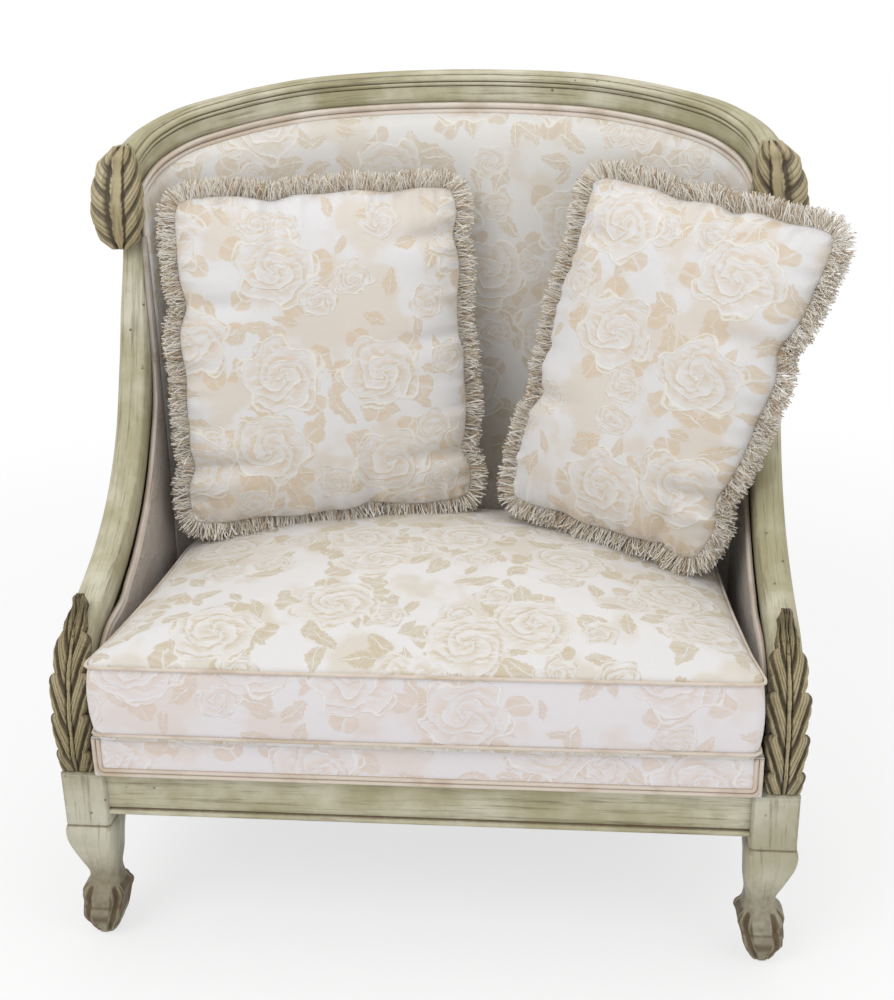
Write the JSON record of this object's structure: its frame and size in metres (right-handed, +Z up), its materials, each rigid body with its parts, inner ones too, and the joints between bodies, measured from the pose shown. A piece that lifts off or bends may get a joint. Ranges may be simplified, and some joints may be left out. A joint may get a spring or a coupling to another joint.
{
  "type": "bergere chair",
  "caption": "Wide upholstered armchair with a carved painted wood frame that sweeps into a rounded back, a loose seat cushion and fringed pillows.",
  "frame": {"origin": "on the floor, on the chair's centre plane, 330 mm behind the front faces of the leg blocks", "axes": "+X to the right for someone facing the chair, +Y towards its back, +Z up"},
  "size_m": [1.0188, 0.6432, 1.062],
  "materials": {
    "painted_frame": "sage green distressed paint with brown glaze in the grooves",
    "carved_leaf": "carved acanthus, olive and gold glaze, dark in the hollows",
    "bare_beech": "unfinished beech inside the frame",
    "steel": "plain spring steel",
    "glide_plastic": "matt brown nylon",
    "hessian": "plain woven hessian",
    "padding": "foam and fibre wadding",
    "rose_fabric": "ivory jacquard with raised beige and peach roses",
    "welt_cord": "cord covered in the same ivory fabric",
    "fringe_yarn": "short cut brush fringe of ivory, beige and brown yarns"
  },
  "bodies": {
    "frame": {"arm_lining_left": "hessian", "arm_lining_right": "hessian", "arm_pad_left": "padding", "arm_pad_right": "padding", "arm_rail_left": "painted_frame", "arm_rail_right": "painted_frame", "arm_tack_rail_left": "bare_beech", "arm_tack_rail_right": "bare_beech", "back_lining": "hessian", "back_pad": "padding", "back_rail": "painted_frame", "back_tack_rail": "bare_beech", "base_welt": "welt_cord", "corner_blocks": "bare_beech", "corner_screws": "steel", "crest_rail": "painted_frame", "deck_band_welt": "welt_cord", "deck_cloth": "rose_fabric", "deck_front_band": "rose_fabric", "deck_pad": "padding", "dowels": "bare_beech", "dust_cover": "hessian", "floor_glides": "glide_plastic", "front_leg_left": "painted_frame", "front_leg_right": "painted_frame", "front_rail": "painted_frame", "inner_welt_back": "welt_cord", "inner_welt_left": "welt_cord", "inner_welt_right": "welt_cord", "inside_arm_cover_left": "rose_fabric", "inside_arm_cover_right": "rose_fabric", "inside_back_cover": "rose_fabric", "outer_welt_back": "welt_cord", "outer_welt_left": "welt_cord", "outer_welt_right": "welt_cord", "outside_arm_cover_left": "rose_fabric", "outside_arm_cover_right": "rose_fabric", "outside_back_cover": "rose_fabric", "post_leaf_left": "carved_leaf", "post_leaf_right": "carved_leaf", "rear_leg_left": "painted_frame", "rear_leg_right": "painted_frame", "seat_hessian": "hessian", "seat_springs": "steel", "shoulder_leaf_left": "carved_leaf", "shoulder_leaf_right": "carved_leaf", "side_rail_left": "painted_frame", "side_rail_right": "painted_frame", "spring_clips": "steel"},
    "seat_cushion": {"cushion_core": "padding", "cushion_cover": "rose_fabric", "cushion_piping_bottom": "welt_cord", "cushion_piping_top": "welt_cord"},
    "pillow_left": {"left_pillow_cover": "rose_fabric", "left_pillow_filling": "padding", "left_pillow_fringe": "fringe_yarn"},
    "pillow_right": {"right_pillow_cover": "rose_fabric", "right_pillow_filling": "padding", "right_pillow_fringe": "fringe_yarn"}
  },
  "joints": [
    {"name": "cushion_lift", "type": "slide", "parent": "frame", "child": "seat_cushion", "axis": [0, 0, 1], "range_m": [0, 0.76]},
    {"name": "left_pillow_lift", "type": "slide", "parent": "seat_cushion", "child": "pillow_left", "axis": [0, 0, 1], "range_m": [0, 0.65]},
    {"name": "right_pillow_lift", "type": "slide", "parent": "seat_cushion", "child": "pillow_right", "axis": [0, 0, 1], "range_m": [0, 0.65]}
  ]
}
